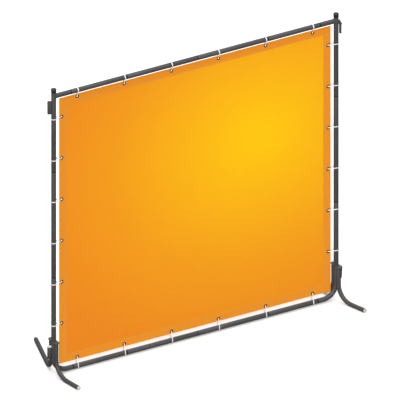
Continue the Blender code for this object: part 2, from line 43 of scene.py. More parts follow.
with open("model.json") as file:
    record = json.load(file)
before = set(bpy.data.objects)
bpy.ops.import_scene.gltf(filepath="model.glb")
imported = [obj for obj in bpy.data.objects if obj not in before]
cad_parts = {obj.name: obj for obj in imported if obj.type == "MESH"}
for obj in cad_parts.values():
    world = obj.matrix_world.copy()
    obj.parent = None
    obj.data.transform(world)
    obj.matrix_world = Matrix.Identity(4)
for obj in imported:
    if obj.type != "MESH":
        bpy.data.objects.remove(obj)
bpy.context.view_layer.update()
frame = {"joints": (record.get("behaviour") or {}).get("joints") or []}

# Lengths are in metres. TINY is how near two heights count as the same, and FIT the play of a sliding fit.
TINY = 0.00005
FIT = 0.0003
TUBE_SIDES = 48
SMALL_SIDES = 32
HOLE_SIDES = 24
BEAD_SIDES = 8
STRAP_STEPS = 72
BEND_STEPS = 14
GRID_ACROSS = 170
GRID_UP = 164
SMOOTH_ANGLE = math.radians(32)
QUARTER = math.pi / 2
FULL = 2 * math.pi

# The least fold, in degrees, that round_edges takes as an edge: any, a clear one, or only a square one.
ANY_EDGE = 40
CLEAR_EDGE = 50
SQUARE_EDGE = 60

FRAME_BODY = "frame"
SIDES = (("left", 1), ("right", -1))
LEGS = (("front", "left"), ("front", "right"), ("back", "left"), ("back", "right"))

# ---------------------------------------------------------------- places read from the frame

TOP_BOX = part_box("top_rail_2")
BOTTOM_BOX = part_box("bottom_rail_2")
CURTAIN_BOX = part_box("curtain")
POST_BOXES = {side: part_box(f"post_mid_{side}") for side, _ in SIDES}
TOP_RAIL = (TOP_BOX[0].z + TOP_BOX[1].z) / 2
BOTTOM_RAIL = (BOTTOM_BOX[0].z + BOTTOM_BOX[1].z) / 2
POST_X = {side: (low.x + high.x) / 2 for side, (low, high) in POST_BOXES.items()}


def joint_of(body):
    """The swivel that carries a body."""
    return next(joint for joint in frame["joints"] if joint["child"] == body)


# ---------------------------------------------------------------- sizes and colours a user can change


def size(label, text, value):
    return bpy.props.FloatProperty(
        name=label, description=text, default=value, min=0.0, unit="LENGTH", precision=4
    )


def colour(label, text, value):
    return bpy.props.StringProperty(name=label, description=text + ", as an sRGB hex value", default=value)


def number(label, text, value):
    return bpy.props.FloatProperty(name=label, description=text, default=value)


def angle(label, text, degrees):
    value = math.radians(degrees)
    return bpy.props.FloatProperty(name=label, description=text, default=value, unit="ROTATION")


class SCREEN_PG_tubes(bpy.types.PropertyGroup):
    """Sizes of the frame and leg tubes."""

    frame_radius: size("Frame tube radius", "Outside radius of the frame tube", 0.0143)
    frame_wall: size("Frame tube wall", "Wall of the frame tube", 0.0016)
    leg_radius: size("Leg tube radius", "Outside radius of the leg tube", 0.0127)
    leg_wall: size("Leg tube wall", "Wall of the leg tube", 0.0016)
    swage_radius: size("Swage radius", "Outside radius of the reduced tube end", 0.0124)
    swage_length: size("Swage length", "Length of the reduced tube end", 0.032)
    shoulder: size("Swage shoulder", "Length of the taper down to the reduced end", 0.0045)
    rim_round: size("Rim round", "Rounding of a cut tube end", 0.0007)
    elbow_bend: size("Elbow bend", "Bend radius of the corner elbow", 0.085)
    leg_bend: size("Leg bend", "Bend radius of a leg", 0.095)
    front_reach: size("Front leg reach", "From a front leg's stem to the end of its tube", 0.200)
    back_reach: size("Back leg reach", "From a back leg's stem to the end of its tube", 0.385)
    bead_radius: size("Weld bead radius", "Half the width of a weld bead", 0.0021)
    bead_pitch: size("Weld ripple pitch", "Distance between the ripples of a weld bead", 0.0024)


class SCREEN_PG_fittings(bpy.types.PropertyGroup):
    """Sizes of the caps, yokes, plugs and linking pieces."""

    cap_flare: size("Cap flare", "How far the cap's top stands out over its skirt", 0.0011)
    cap_lip: size("Cap lip", "Height of the cap's flared top", 0.0045)
    yoke_thickness: size("Yoke thickness", "Thickness of the plate over the leg stems", 0.005)
    yoke_round: size("Yoke round", "Rounding of the plate's edges", 0.0009)
    spigot_radius: size("Spigot radius", "Outside radius of a spigot in a leg stem", 0.0108)
    plug_lip: size("Plug lip", "Height of the plug's flange", 0.0026)
    plug_shank: size("Plug shank", "Length of the plug inside the leg", 0.018)
    sleeve_wall: size("Sleeve wall", "Wall of a link sleeve", 0.003)
    liner_wall: size("Liner wall", "Wall of a nylon liner", 0.0018)
    liner_lip: size("Liner lip", "Height of a liner's flange", 0.0025)
    sleeve_liner: size("Sleeve liner radius", "Outside radius of the liner in the lower sleeve", 0.0094)
    cup_liner: size("Cup liner radius", "Outside radius of the liner in the cup", 0.0091)
    hook_pin: size("Hook pin radius", "Radius of the hook's pin", 0.0075)
    hook_top: size("Hook top radius", "Radius of the hook at its top", 0.0045)
    hook_shoulder: size("Hook shoulder radius", "Radius of the hook at its shoulder", 0.011)
    hook_wedge: size("Hook wedge", "Height of the hook's wedge over its pin", 0.028)
    cup_foot: size("Cup foot radius", "Radius of the cup at its foot", 0.0105)
    cup_bore: size("Cup bore radius", "Radius of the bore in the cup", 0.0094)
    cup_depth: size("Cup depth", "Depth of the bore in the cup", 0.034)
    link_round: size("Link edge round", "Rounding of the edges of the sleeves and the cup", 0.0007)


class SCREEN_PG_curtain(bpy.types.PropertyGroup):
    """Sizes of the curtain, its eyelets and its ties."""

    film: size("Film thickness", "Thickness of the vinyl film", 0.0005)
    hem_width: size("Hem width", "Width of the welded hem", 0.048)
    hem_thickness: size("Hem thickness", "Thickness of the folded and welded hem", 0.0016)
    weld_band: size("Weld band", "Width of the pressed weld along the hem's inner edge", 0.020)
    billow: size("Billow", "How far the film bellies between its edges", 0.006)
    eyelet_inset: size("Eyelet inset", "From the curtain's edge to an eyelet's centre", 0.016)
    eyelet_hole: size("Eyelet hole", "Radius of the hole in an eyelet", 0.0047)
    eyelet_flange: size("Eyelet flange", "Width of an eyelet's flange", 0.0064)
    tie_width: size("Tie width", "Width of a cable tie's strap", 0.0052)
    tie_thickness: size("Tie thickness", "Thickness of a cable tie's strap", 0.0013)
    tie_head: size("Tie head", "Length of a cable tie's head", 0.0078)


class SCREEN_PG_finish(bpy.types.PropertyGroup):
    """Colours of the finishes."""

    frame_paint: colour("Frame paint", "Powder coat of the frame", "#434344")
    leg_paint: colour("Leg paint", "Powder coat of the legs", "#3E3E3F")
    swage: colour("Swage", "Phosphate finish of the reduced tube ends", "#0E0F10")
    cap: colour("Cap", "Moulded polyethylene of the caps", "#17181A")
    nylon: colour("Nylon", "Natural nylon of the ties", "#F1F0EA")
    plug: colour("Plugs and liners", "Glass-filled nylon of the plugs and liners", "#D6D5CF")
    vinyl_deep: colour("Vinyl edge", "Tinted vinyl where it is deepest", "#F5A028")
    # The vinyl middle colour is a painted glow, where most light comes through the film, not a paler tint.
    vinyl_painted_glow: colour("Vinyl middle", "Tinted vinyl where it is lightest", "#FFD912")
    hem: colour("Hem", "Doubled vinyl of the hem", "#FCA324")
    weld: colour("Weld", "Pressed vinyl along the hem's inner edge", "#F5A136")
    eyelet: colour("Eyelet", "Blackened brass of the eyelets", "#14110F")


class SCREEN_PG_stage(bpy.types.PropertyGroup):
    """Camera, floor and light."""

    azimuth: angle("Camera azimuth", "Angle of the camera round the screen", -29.5)
    elevation: angle("Camera elevation", "Angle of the camera above the horizon", 28.3)
    aim: bpy.props.FloatVectorProperty(
        name="Aim",
        description="Point in the middle of the picture",
        default=(0.0332, 0.0, 0.8678),
        subtype="XYZ",
    )
    width: size("Picture width", "Width that the picture takes in", 2.2544)
    floor: colour("Floor", "Pale studio floor", "#FAFAF9")
    world: number("World light", "Strength of the light from all round", 0.22)
    key: number("Key light", "Strength of the soft light from the camera's side", 2.95)
    top: number("Overhead light", "Strength of the soft light from straight above", 2.6)
    fill: number("Back light", "Strength of the soft light from behind the screen", 0.45)
    key_spread: angle("Key light spread", "How broad the light from the camera's side is", 25)
    soft_spread: angle("Soft light spread", "How broad the overhead and back lights are", 60)


# ---------------------------------------------------------------- colour and materials


def linear(value):
    """The linear RGB of an sRGB hex colour."""
    parts = [int(value[i : i + 2], 16) / 255 for i in (1, 3, 5)]
    return [c / 12.92 if c <= 0.04045 else ((c + 0.055) / 1.055) ** 2.4 for c in parts] + [1.0]


def add_node(tree, kind, settings=(), **inputs):
    """A node with its settings, and with its inputs linked to sockets or set to values."""
    node = tree.nodes.new("ShaderNode" + kind)
    for name, value in dict(settings).items():
        setattr(node, name, value)
    for name, value in inputs.items():
        key = int(name[1:]) if name[0] == "i" and name[1:].isdigit() else name.replace("_", " ")
        if isinstance(value, bpy.types.NodeSocket):
            tree.links.new(value, node.inputs[key])
        else:
            node.inputs[key].default_value = value
    return node


def shade(hex_value, times, dust=0.0):
    """A colour made darker or paler, with a little grey added for dust."""
    return [c * times + dust for c in linear(hex_value)[:3]] + [1.0]


def blank(name):
    """An empty material, its node tree and its coordinates, which are the piece's own."""
    material = bpy.data.materials.new(name)
    material.use_nodes = True
    tree = material.node_tree
    tree.nodes.clear()
    return material, tree, add_node(tree, "TexCoord").outputs["Object"]


def powder_coat(name, hex_value, scuff):
    """Polyester powder coat on steel: satin, with a fine orange peel and a little dust.

    The peel is about 1.5 mm across in life and is drawn at 4 mm, so that it shows. The dust and the scuffs
    are cloudy patches about 110 mm across, where the coat is paler and duller.
    """
    material, tree, where = blank(name)
    peel = add_node(tree, "TexNoise", Vector=where, Scale=250.0, Detail=2.0)
    cloud = add_node(tree, "TexNoise", Vector=where, Scale=9.0, Detail=3.0)
    tint = add_node(
        tree,
        "Mix",
        {"data_type": "RGBA"},
        Factor=cloud.outputs["Fac"],
        i6=shade(hex_value, 0.80),
        i7=shade(hex_value, 1.25, 0.004),
    )
    rough = add_node(tree, "MapRange", Value=cloud.outputs["Fac"], To_Min=0.38, To_Max=0.38 + scuff)
    bump = add_node(tree, "Bump", Height=peel.outputs["Fac"], Strength=0.16, Distance=0.0004)
    coat = add_node(
        tree,
        "BsdfPrincipled",
        Base_Color=tint.outputs[2],
        Roughness=rough.outputs["Result"],
        Normal=bump.outputs["Normal"],
        IOR=1.5,
        Specular_IOR_Level=0.3,
    )
    add_node(tree, "OutputMaterial", Surface=coat.outputs["BSDF"])
    return material


def moulded(name, hex_value, roughness, grain_mm, depth):
    """Injection-moulded plastic: even colour, with the fine spark-eroded grain of its tool.

    The grain is about 0.2 mm across in life and is drawn at 2 to 3 mm, so that it shows. The flow of the
    melt leaves faint clouds about 17 mm across.
    """
    material, tree, where = blank(name)
    grain = add_node(tree, "TexNoise", Vector=where, Scale=1000.0 / grain_mm, Detail=2.0)
    flow = add_node(tree, "TexNoise", Vector=where, Scale=60.0, Detail=2.0)
    fac = flow.outputs["Fac"]
    tint = add_node(
        tree, "Mix", {"data_type": "RGBA"}, Factor=fac, i6=shade(hex_value, 0.93), i7=linear(hex_value)
    )
    rough = add_node(tree, "MapRange", Value=fac, To_Min=roughness - 0.05, To_Max=roughness + 0.07)
    bump = add_node(tree, "Bump", Height=grain.outputs["Fac"], Strength=0.2, Distance=depth)
    plastic = add_node(
        tree,
        "BsdfPrincipled",
        Base_Color=tint.outputs[2],
        Roughness=rough.outputs["Result"],
        Normal=bump.outputs["Normal"],
    )
    add_node(tree, "OutputMaterial", Surface=plastic.outputs["BSDF"])
    return material


def vinyl(name, deep_hex, painted_glow_hex, see_through):
    """Calendered PVC film, tinted in the mass: satin, faintly clouded, and lit through from behind.

    The colour carries a painted glow: it is painted yellower to the upper right of the middle, where most
    light comes through, and deeper towards the edges. The cloud that calendering leaves is about 60 mm
    across, and it also wavers the edge of the painted glow. Its grain is under 1 mm in life and is drawn at
    5 mm, so that it shows.
    """
    material, tree, where = blank(name)
    # The painted glow: its centre, how it is squeezed into an oval, how far out it fades, and the ramp's
    # stops, each a position and a share of the deep tint.
    painted_glow_centre = (0.42, 0.0, 1.17)
    squeeze = (0.80, 0.0, 0.95)
    fade_reach = 1.25
    stops = ((0.05, 0.0), (0.32, 0.32), (0.62, 0.70), (0.98, 1.0))

    # Painted glow: the distance from its centre, squeezed into an oval and wavered by the cloud, sets how
    # far the colour has faded from the glow's colour to the deep tint.
    offset = add_node(tree, "VectorMath", {"operation": "SUBTRACT"}, i0=where, i1=painted_glow_centre)
    oval = add_node(tree, "VectorMath", {"operation": "MULTIPLY"}, i0=offset.outputs[0], i1=squeeze)
    away = add_node(tree, "VectorMath", {"operation": "LENGTH"}, i0=oval.outputs[0])
    cloud = add_node(tree, "TexNoise", Vector=where, Scale=16.0, Detail=4.0)
    grain = add_node(tree, "TexNoise", Vector=where, Scale=200.0, Detail=3.0)
    wander = add_node(tree, "MapRange", Value=cloud.outputs["Fac"], To_Min=-0.05, To_Max=0.05)
    reach = add_node(
        tree, "Math", {"operation": "ADD"}, i0=away.outputs["Value"], i1=wander.outputs["Result"]
    )
    fade = add_node(tree, "MapRange", Value=reach.outputs[0], From_Min=0.0, From_Max=fade_reach)
    ramp = add_node(tree, "ValToRGB", Fac=fade.outputs["Result"])
    while len(ramp.color_ramp.elements) < len(stops):
        ramp.color_ramp.elements.new(0.5)
    for element, (at, share) in zip(ramp.color_ramp.elements, stops):
        element.position = at
        element.color = [a + (b - a) * share for a, b in zip(linear(painted_glow_hex), linear(deep_hex))]
    speck = add_node(tree, "MapRange", Value=grain.outputs["Fac"], To_Min=0.95, To_Max=1.05)
    # The colour is the painted glow's ramp, speckled by the film's grain.
    tint = add_node(
        tree, "VectorMath", {"operation": "SCALE"}, i0=ramp.outputs["Color"], Scale=speck.outputs["Result"]
    )

    rough = add_node(tree, "MapRange", Value=cloud.outputs["Fac"], To_Min=0.32, To_Max=0.46)
    bump = add_node(tree, "Bump", Height=grain.outputs["Fac"], Strength=0.10, Distance=0.0005)
    front = add_node(
        tree,
        "BsdfPrincipled",
        Base_Color=tint.outputs[0],
        Roughness=rough.outputs["Result"],
        Normal=bump.outputs["Normal"],
        IOR=1.53,
        Specular_IOR_Level=0.2,
    )
    through = add_node(tree, "BsdfTranslucent", Color=tint.outputs[0])
    both = add_node(tree, "MixShader", i0=see_through, i1=front.outputs["BSDF"], i2=through.outputs["BSDF"])
    add_node(tree, "OutputMaterial", Surface=both.outputs["Shader"])
    return material


def blackened_brass(name, hex_value):
    """Pressed brass with a black oxide finish: dark and dull, rubbed brighter in small patches.

    The patches are 2.5 mm across. The oxide hides part of the metal, so it isn't fully metallic.
    """
    material, tree, where = blank(name)
    rub = add_node(tree, "TexNoise", Vector=where, Scale=400.0, Detail=3.0)
    fac = rub.outputs["Fac"]
    tint = add_node(
        tree, "Mix", {"data_type": "RGBA"}, Factor=fac, i6=shade(hex_value, 0.6), i7=shade(hex_value, 1.5)
    )
    rough = add_node(tree, "MapRange", Value=fac, To_Min=0.32, To_Max=0.5)
    metal = add_node(
        tree,
        "BsdfPrincipled",
        Base_Color=tint.outputs[2],
        Roughness=rough.outputs["Result"],
        Metallic=0.6,
    )
    add_node(tree, "OutputMaterial", Surface=metal.outputs["BSDF"])
    return material


def phosphate(name, hex_value):
    """Manganese phosphate on the masked swages: near black and matt, with a fine crystal mottle.

    The crystals are far under 0.1 mm across in life and are drawn at 2 mm, so that they show.
    """
    material, tree, where = blank(name)
    crystal = add_node(tree, "TexNoise", Vector=where, Scale=500.0, Detail=3.0)
    fac = crystal.outputs["Fac"]
    tint = add_node(
        tree, "Mix", {"data_type": "RGBA"}, Factor=fac, i6=shade(hex_value, 0.5), i7=shade(hex_value, 1.6)
    )
    steel = add_node(
        tree, "BsdfPrincipled", Base_Color=tint.outputs[2], Roughness=0.75, Specular_IOR_Level=0.2
    )
    add_node(tree, "OutputMaterial", Surface=steel.outputs["BSDF"])
    return material


def finish_of(name):
    """The material with a name, made the first time that it is asked for."""
    colours = bpy.context.scene.screen_finish
    makers = {
        "frame powder coat": lambda: powder_coat(name, colours.frame_paint, 0.14),
        "leg powder coat, scuffed": lambda: powder_coat(name, colours.leg_paint, 0.28),
        "phosphated steel": lambda: phosphate(name, colours.swage),
        "moulded polyethylene": lambda: moulded(name, colours.cap, 0.5, 2.0, 0.0003),
        "natural nylon": lambda: moulded(name, colours.nylon, 0.38, 3.0, 0.0001),
        "glass-filled nylon": lambda: moulded(name, colours.plug, 0.45, 3.0, 0.0001),
        "tinted vinyl film with painted glow": lambda: vinyl(name, colours.vinyl_deep, colours.vinyl_painted_glow, 0.35),
        "folded vinyl hem": lambda: vinyl(name, colours.hem, colours.hem, 0.25),
        "pressed vinyl weld": lambda: vinyl(name, colours.weld, colours.weld, 0.2),
        "blackened brass": lambda: blackened_brass(name, colours.eyelet),
    }
    return bpy.data.materials.get(name) or makers[name]()


# ---------------------------------------------------------------- modelling helpers


def start_clean():
    """Leave edit mode and select nothing, before a new primitive is added."""
    if bpy.context.object and bpy.context.object.mode != "OBJECT":
        bpy.ops.object.mode_set(mode="OBJECT")
    bpy.ops.object.select_all(action="DESELECT")


def added(name):
    """The primitive that was just added, under its new name."""
    obj = bpy.context.object
    obj.name = name
    obj.data.name = name
    return obj


def only(obj):
    """Make an object the only one selected."""
    start_clean()
    obj.select_set(True)
    bpy.context.view_layer.objects.active = obj


def choose(obj, test):
    """Go to edit mode with just the vertices that pass a test selected, and what lies between them."""
    if obj.mode != "EDIT":
        only(obj)
        bpy.ops.object.mode_set(mode="EDIT")
    bpy.ops.mesh.select_mode(type="VERT")
    bpy.ops.mesh.select_all(action="DESELECT")
    shape = bmesh.from_edit_mesh(obj.data)
    for vert in shape.verts:
        vert.select = test(vert.co)
    shape.select_flush(True)
    bmesh.update_edit_mesh(obj.data)


def at_height(obj, height):
    """Select what lies at a height."""
    choose(obj, lambda co: abs(co.z - height) < TINY)


def pull(x=0.0, y=0.0, z=0.0):
    """Extrude what is selected by a step."""
    bpy.ops.mesh.extrude_region_move(TRANSFORM_OT_translate={"value": (x, y, z)})


def grow(factor, centre=(0, 0, 0)):
    """Scale what is selected across Z."""
    bpy.ops.transform.resize(value=(factor, factor, 1), center_override=centre)


def modify(obj, kind, **settings):
    """Add a modifier and apply it."""
    only(obj)
    modifier = obj.modifiers.new(kind.title(), kind)
    for name, value in settings.items():
        setattr(modifier, name, value)
    bpy.ops.object.modifier_apply(modifier=modifier.name)


def give_wall(obj, wall, rim_round):
    """Turn an open skin into a wall that grows inwards, with rounded rims."""
    modify(obj, "SOLIDIFY", thickness=wall, offset=-1, use_even_offset=True, use_rim=True)
    if rim_round:
        round_edges(obj, rim_round)


def round_edges(obj, width, segments=2, limit=CLEAR_EDGE):
    """Round the edges that fold by more than a limit in degrees."""
    fold = math.radians(limit)
    modify(obj, "BEVEL", width=width, segments=segments, limit_method="ANGLE", angle_limit=fold)


def cut(obj, cutter, operation="DIFFERENCE"):
    """Cut an object with another, or join them, and remove the other."""
    modify(obj, "BOOLEAN", operation=operation, solver="EXACT", object=cutter)
    bpy.data.objects.remove(cutter, do_unlink=True)


def cylinder(name, radius, low, high, sides=TUBE_SIDES, ends="NGON"):
    """A cylinder along Z, or its open skin where it has no ends."""
    start_clean()
    middle = (0, 0, (low + high) / 2)
    bpy.ops.mesh.primitive_cylinder_add(
        vertices=sides, radius=radius, depth=high - low, end_fill_type=ends, location=middle
    )
    obj = added(name)
    bpy.ops.object.transform_apply(location=True, rotation=True, scale=True)
    return obj


def put(obj, matrix):
    """Move a piece to its place, with the place in its mesh."""
    start_clean()
    obj.data.transform(matrix)
    obj.data.update()


def spot(x=0.0, y=0.0, z=0.0, turn=0.0, axis="Z"):
    """A place, with a turn about an axis through it."""
    return Matrix.Translation((x, y, z)) @ Matrix.Rotation(turn, 4, axis)


def finish(obj, material, body, slot, *nodes, second="phosphated steel"):
    """Smooth a piece, give it its material, tie it to its body, and hide the CAD nodes that it stands for.

    Faces that were marked take the second material.
    """
    only(obj)
    bpy.ops.object.shade_smooth_by_angle(angle=SMOOTH_ANGLE)
    marks = [face.material_index for face in obj.data.polygons]
    obj.data.materials.clear()
    obj.data.materials.append(finish_of(material))
    if any(marks):
        obj.data.materials.append(finish_of(second))
        obj.data.polygons.foreach_set("material_index", marks)
    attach(obj, body)
    if nodes:
        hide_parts(*nodes)
    return obj


def join(first, *others):
    """Join objects into the first."""
    only(first)
    for other in others:
        other.select_set(True)
    bpy.ops.object.join()
    return first


def copy_of(obj, name):
    """A copy of a piece with its own mesh."""
    twin = obj.copy()
    twin.data = obj.data.copy()
    twin.name = name
    bpy.context.scene.collection.objects.link(twin)
    return twin


# ---------------------------------------------------------------- tubes


def swage(obj, end, way):
    """Reduce the open end of a skin and run it on as a swage."""
    tubes = bpy.context.scene.screen_tubes
    at_height(obj, end)
    bpy.ops.transform.translate(value=(0, 0, -way * tubes.shoulder))
    pull(z=way * tubes.shoulder)
    grow(tubes.swage_radius / tubes.frame_radius)
    pull(z=way * tubes.swage_length)


def section(name, low, high, ends):
    """A straight frame tube along Z, with a swage at each end named."""
    tubes = bpy.context.scene.screen_tubes
    obj = cylinder(name, tubes.frame_radius, low, high, ends="NOTHING")
    for end, way in ends:
        swage(obj, end, way)
    give_wall(obj, tubes.frame_wall, tubes.rim_round)
    for end, way in ends:
        leave_bare(obj, end, way)
    return obj


def leave_bare(obj, end, way):
    """Mark the faces of a swage and its shoulder, which the paint leaves out."""
    edge = (end - way * bpy.context.scene.screen_tubes.shoulder) * way
    for face in obj.data.polygons:
        if face.center.z * way > edge:
            face.material_index = 1


def bent_skin(name, radius, top, floor, bend, reach):
    """An open tube skin down the Z axis that bends to -Y at a height and runs on to a reach."""
    obj = cylinder(name, radius, floor + bend, top, ends="NOTHING")
    at_height(obj, floor + bend)
    bpy.ops.mesh.spin(steps=BEND_STEPS, angle=QUARTER, center=(0, -bend, floor + bend), axis=(1, 0, 0))
    choose(obj, lambda co: abs(co.y + bend) < TINY)
    pull(y=bend - reach)
    bpy.ops.mesh.select_all(action="SELECT")
    bpy.ops.mesh.remove_doubles(threshold=TINY / 5)
    bpy.ops.mesh.normals_make_consistent(inside=False)
    bpy.ops.object.mode_set(mode="OBJECT")
    return obj


class SCREEN_OT_rails(bpy.types.Operator):
    """Add the straight tubes of the top and bottom rails"""

    bl_idname = "screen.rails"
    bl_label = "Rails"

    def execute(self, context):
        length = context.scene.screen_tubes.swage_length
        sections = 4
        for rail, height in (("top_rail", TOP_RAIL), ("bottom_rail", BOTTOM_RAIL)):
            for i in range(1, sections + 1):
                low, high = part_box(f"{rail}_{i}")
                start = low.x + length
                end = high.x - length if i == sections else high.x
                ends = [(start, -1)]
                if i == sections:
                    ends.append((end, 1))
                tube = section(f"{rail}_tube_{i}", start, end, ends)
                put(tube, spot(z=height, turn=QUARTER, axis="Y"))
                finish(tube, "frame powder coat", FRAME_BODY, "frame_paint", f"{rail}_{i}")
        return {"FINISHED"}


class SCREEN_OT_posts(bpy.types.Operator):
    """Add the middle and lower lengths of both posts"""

    bl_idname = "screen.posts"
    bl_label = "Posts"

    def execute(self, context):
        length = context.scene.screen_tubes.swage_length
        for side, _ in SIDES:
            for part in ("mid", "low"):
                low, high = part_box(f"post_{part}_{side}")
                seam = high.z - length
                tube = section(f"post_{part}_tube_{side}", low.z, seam, [(seam, 1)])
                put(tube, spot(x=POST_X[side]))
                finish(tube, "frame powder coat", FRAME_BODY, "frame_paint", f"post_{part}_{side}")
        return {"FINISHED"}


class SCREEN_OT_tees(bpy.types.Operator):
    """Add the top length of each post with its welded stub"""

    bl_idname = "screen.tees"
    bl_label = "Corner tees"

    def execute(self, context):
        tubes = context.scene.screen_tubes
        radius = tubes.frame_radius
        bore = radius - tubes.frame_wall
        # The stub is a hair slimmer than the post, so that no two surfaces coincide where they are joined.
        step = 0.0001
        for side, inward in SIDES:
            low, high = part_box(f"corner_tee_{side}")
            reach = high.x - low.x - radius
            across = spot(turn=inward * QUARTER, axis="Y")
            post = cylinder(f"tee_tube_{side}", radius, low.z - TOP_RAIL, high.z - TOP_RAIL)
            round_edges(post, tubes.rim_round)
            stub = cylinder("stub", radius - step, 0, reach)
            put(stub, across)
            cut(post, stub, "UNION")
            post_bore = cylinder("post_bore", bore, low.z - TOP_RAIL - radius, high.z - TOP_RAIL + radius)
            cut(post, post_bore)
            stub_bore = cylinder("stub_bore", bore - step, 0, reach + radius)
            put(stub_bore, across)
            cut(post, stub_bore)
            put(post, spot(x=POST_X[side], z=TOP_RAIL))
            finish(post, "frame powder coat", FRAME_BODY, "frame_paint", f"corner_tee_{side}")
        return {"FINISHED"}


class SCREEN_OT_elbows(bpy.types.Operator):
    """Add the bent corner tubes"""

    bl_idname = "screen.elbows"
    bl_label = "Elbows"

    def execute(self, context):
        tubes = context.scene.screen_tubes
        for side, inward in SIDES:
            low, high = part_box(f"elbow_{side}")
            stem_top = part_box(f"front_leg_{side}")[1].z
            reach = high.x - low.x - tubes.frame_radius
            obj = bent_skin(
                f"elbow_tube_{side}", tubes.frame_radius, stem_top, BOTTOM_RAIL, tubes.elbow_bend, reach
            )
            swage(obj, stem_top, 1)
            give_wall(obj, tubes.frame_wall, tubes.rim_round)
            leave_bare(obj, stem_top, 1)
            put(obj, spot(x=POST_X[side], turn=inward * QUARTER))
            finish(obj, "frame powder coat", FRAME_BODY, "frame_paint", f"elbow_{side}")
        return {"FINISHED"}


# ---------------------------------------------------------------- legs


def leg_line(end, side):
    """Where a leg's stem stands, which way it points, and how far from its stem its tube ends."""
    tubes = bpy.context.scene.screen_tubes
    stem = joint_of(f"leg_{end}_{side}")["pos_m"]
    low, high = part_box(f"{end}_plug_{side}")
    tip = (low + high) / 2
    turn = math.atan2(tip.x - stem[0], stem[1] - tip.y)
    return stem, turn, {"front": tubes.front_reach, "back": tubes.back_reach}[end]


class SCREEN_OT_legs(bpy.types.Operator):
    """Add the four bent legs"""

    bl_idname = "screen.legs"
    bl_label = "Legs"

    def execute(self, context):
        tubes = context.scene.screen_tubes
        for end, side in LEGS:
            stem, turn, reach = leg_line(end, side)
            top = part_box(f"{end}_leg_{side}")[1].z
            radius = tubes.leg_radius
            obj = bent_skin(f"{end}_leg_tube_{side}", radius, top, radius, tubes.leg_bend, reach)
            give_wall(obj, tubes.leg_wall, tubes.rim_round)
            put(obj, spot(x=stem[0], y=stem[1], turn=turn))
            finish(obj, "leg powder coat, scuffed", f"leg_{end}_{side}", "leg_paint", f"{end}_leg_{side}")
        return {"FINISHED"}


class SCREEN_OT_plugs(bpy.types.Operator):
    """Add the ribbed nylon plugs in the leg ends"""

    bl_idname = "screen.plugs"
    bl_label = "Leg plugs"

    def execute(self, context):
        tubes = context.scene.screen_tubes
        fittings = context.scene.screen_fittings
        lip = fittings.plug_lip
        step = fittings.plug_shank / 6
        ribs = 3
        rib_depth = 0.0005
        rib_swell = 1.05
        tip_taper = 0.88
        crown = ((0.0022, 0.0006), (0.0062, -0.0003))
        flange_round = 0.0009
        bore = tubes.leg_radius - tubes.leg_wall - FIT
        for end, side in LEGS:
            stem, turn, reach = leg_line(end, side)
            obj = cylinder(f"{end}_leg_plug_{side}", tubes.leg_radius, FIT, lip, SMALL_SIDES)
            at_height(obj, FIT)
            bpy.ops.mesh.inset(thickness=tubes.leg_radius - bore + rib_depth)
            for _ in range(ribs):
                pull(z=-step)
                pull()
                grow(rib_swell)
                pull(z=-step / 2)
                pull()
                grow(1 / rib_swell)
            pull(z=-step)
            grow(tip_taper)
            at_height(obj, lip)
            for inset, rise in crown:
                bpy.ops.mesh.inset(thickness=inset)
                bpy.ops.transform.translate(value=(0, 0, rise))
            bpy.ops.object.mode_set(mode="OBJECT")
            round_edges(obj, flange_round, limit=ANY_EDGE)
            place = spot(x=stem[0], y=stem[1], z=tubes.leg_radius, turn=turn)
            put(obj, place @ spot(y=-reach, turn=QUARTER, axis="X"))
            finish(obj, "glass-filled nylon", f"leg_{end}_{side}", "nylon", f"{end}_plug_{side}")
        return {"FINISHED"}


class SCREEN_OT_yokes(bpy.types.Operator):
    """Add the plates that hold the legs, with their spigots"""

    bl_idname = "screen.yokes"
    bl_label = "Leg yokes"

    def execute(self, context):
        tubes = context.scene.screen_tubes
        fittings = context.scene.screen_fittings
        offset = abs(joint_of("leg_front_left")["pos_m"][1])
        spigot_wall = 0.0025
        overlap = 0.001
        for side, _ in SIDES:
            low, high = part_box(f"leg_yoke_{side}")
            around = (high.x - low.x) / 2
            foot = high.z - fittings.yoke_thickness
            obj = cylinder(f"yoke_{side}", around, foot, high.z)
            for way in (1, -1):
                choose(obj, lambda co, way=way: co.y * way > TINY)
                bpy.ops.transform.translate(value=(0, way * offset, 0))
            bpy.ops.object.mode_set(mode="OBJECT")
            round_edges(obj, fittings.yoke_round, limit=SQUARE_EDGE)
            hole = cylinder("hole", tubes.swage_radius + FIT, foot - around, high.z + around)
            cut(obj, hole)
            for way in (1, -1):
                spigot = cylinder("spigot", fittings.spigot_radius, low.z, foot + overlap)
                at_height(spigot, low.z)
                bpy.ops.mesh.inset(thickness=spigot_wall)
                pull(z=foot - low.z - overlap)
                bpy.ops.object.mode_set(mode="OBJECT")
                put(spigot, spot(y=way * offset))
                cut(obj, spigot, "UNION")
            put(obj, spot(x=POST_X[side]))
            finish(obj, "frame powder coat", FRAME_BODY, "frame_paint", f"leg_yoke_{side}")
        return {"FINISHED"}


